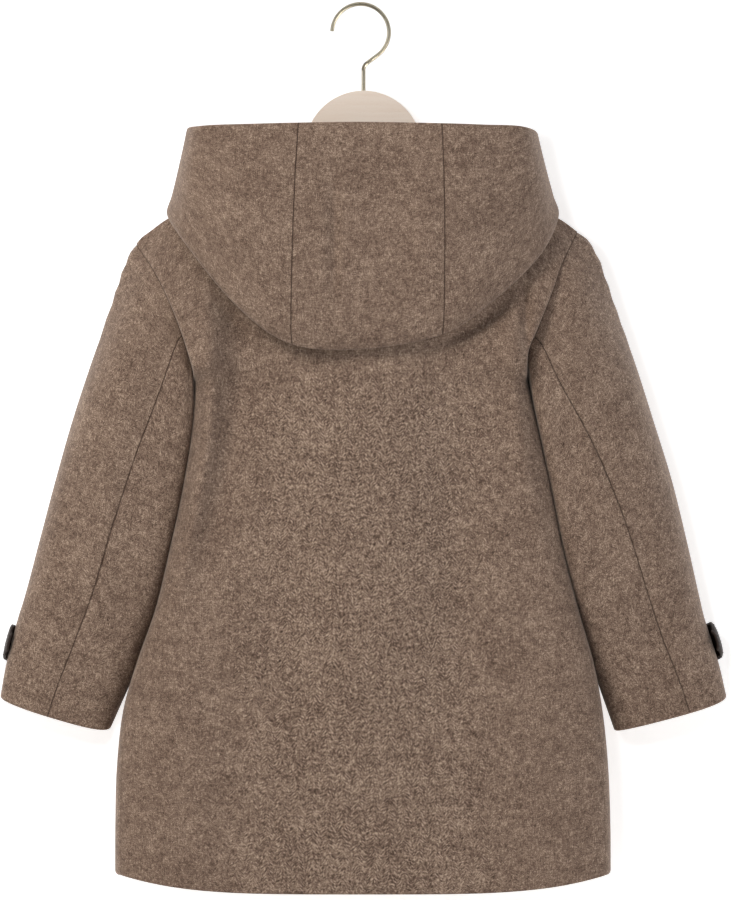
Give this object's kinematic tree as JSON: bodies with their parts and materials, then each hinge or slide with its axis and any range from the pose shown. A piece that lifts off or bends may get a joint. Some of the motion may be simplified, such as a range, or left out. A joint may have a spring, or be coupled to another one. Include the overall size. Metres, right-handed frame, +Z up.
{
  "type": "hooded coat on a hanger",
  "caption": "Child's hooded felted-wool coat hanging on a wooden hanger with a wire hook, hood lying down the back.",
  "frame": {"origin": "inside top of the hanger's hook, where a rail holds it", "axes": "+Z up, +Y out of the coat's back, +X towards the wearer's left"},
  "size_m": [0.6155, 0.1509, 0.7585],
  "materials": {
    "wool": "felted melange wool, matte",
    "leather": "dark brown, satin",
    "button": "dark brown, satin",
    "beech": "pale sanded beech, matte",
    "brass_wire": "pale polished brass"
  },
  "bodies": {
    "root": {"back_panel": "wool", "front_left": "wool", "front_right": "wool", "sleeve_left_top": "wool", "sleeve_left_under": "wool", "sleeve_right_top": "wool", "sleeve_right_under": "wool", "hood_centre": "wool", "hood_left": "wool", "hood_right": "wool", "cuff_tab_left": "leather", "cuff_tab_right": "leather", "tab_button_left": "button", "tab_button_right": "button", "front_button_1": "button", "front_button_2": "button", "front_button_3": "button", "front_button_4": "button", "hanger_board": "beech", "hanger_hook": "brass_wire"}
  },
  "joints": []
}
